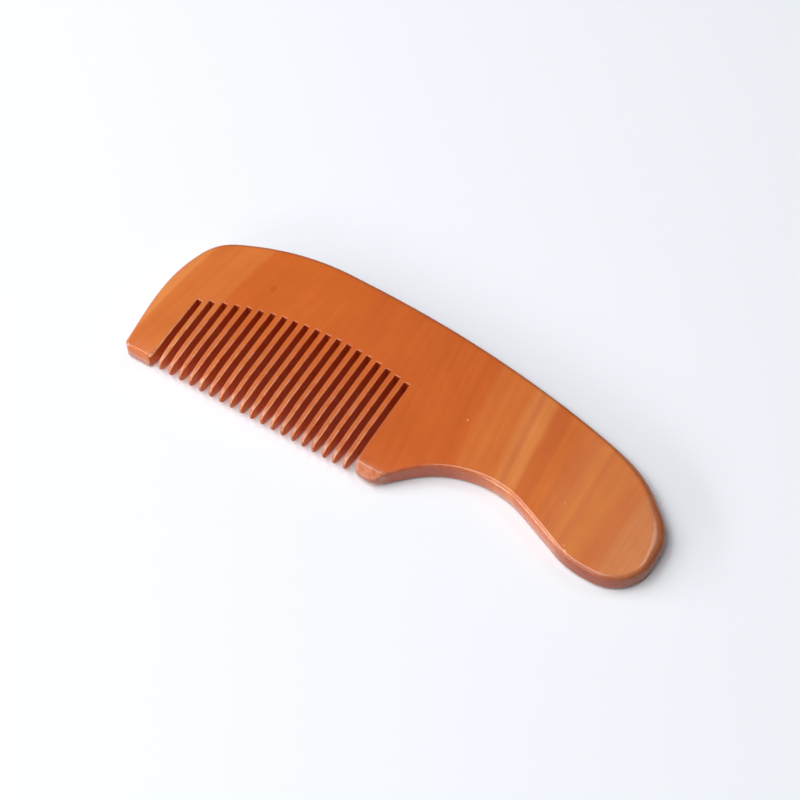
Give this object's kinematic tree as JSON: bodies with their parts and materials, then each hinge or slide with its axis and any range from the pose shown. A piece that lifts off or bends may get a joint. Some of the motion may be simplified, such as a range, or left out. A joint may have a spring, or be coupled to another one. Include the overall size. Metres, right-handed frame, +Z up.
{
  "type": "beard comb",
  "caption": "Flat one-piece wooden beard comb: fine sawn teeth between two wide guard ends, arched spine and a curved handle with a finger hollow.",
  "frame": {"origin": "on the surface that the comb lies on, under the middle of its length and width", "axes": "+X from the head to the handle, +Y from the tooth tips to the spine, +Z up through the thickness"},
  "size_m": [0.1428, 0.0474, 0.0059],
  "materials": {
    "stained_wood": "satin"
  },
  "bodies": {
    "root": {"comb": "stained_wood"}
  },
  "joints": []
}
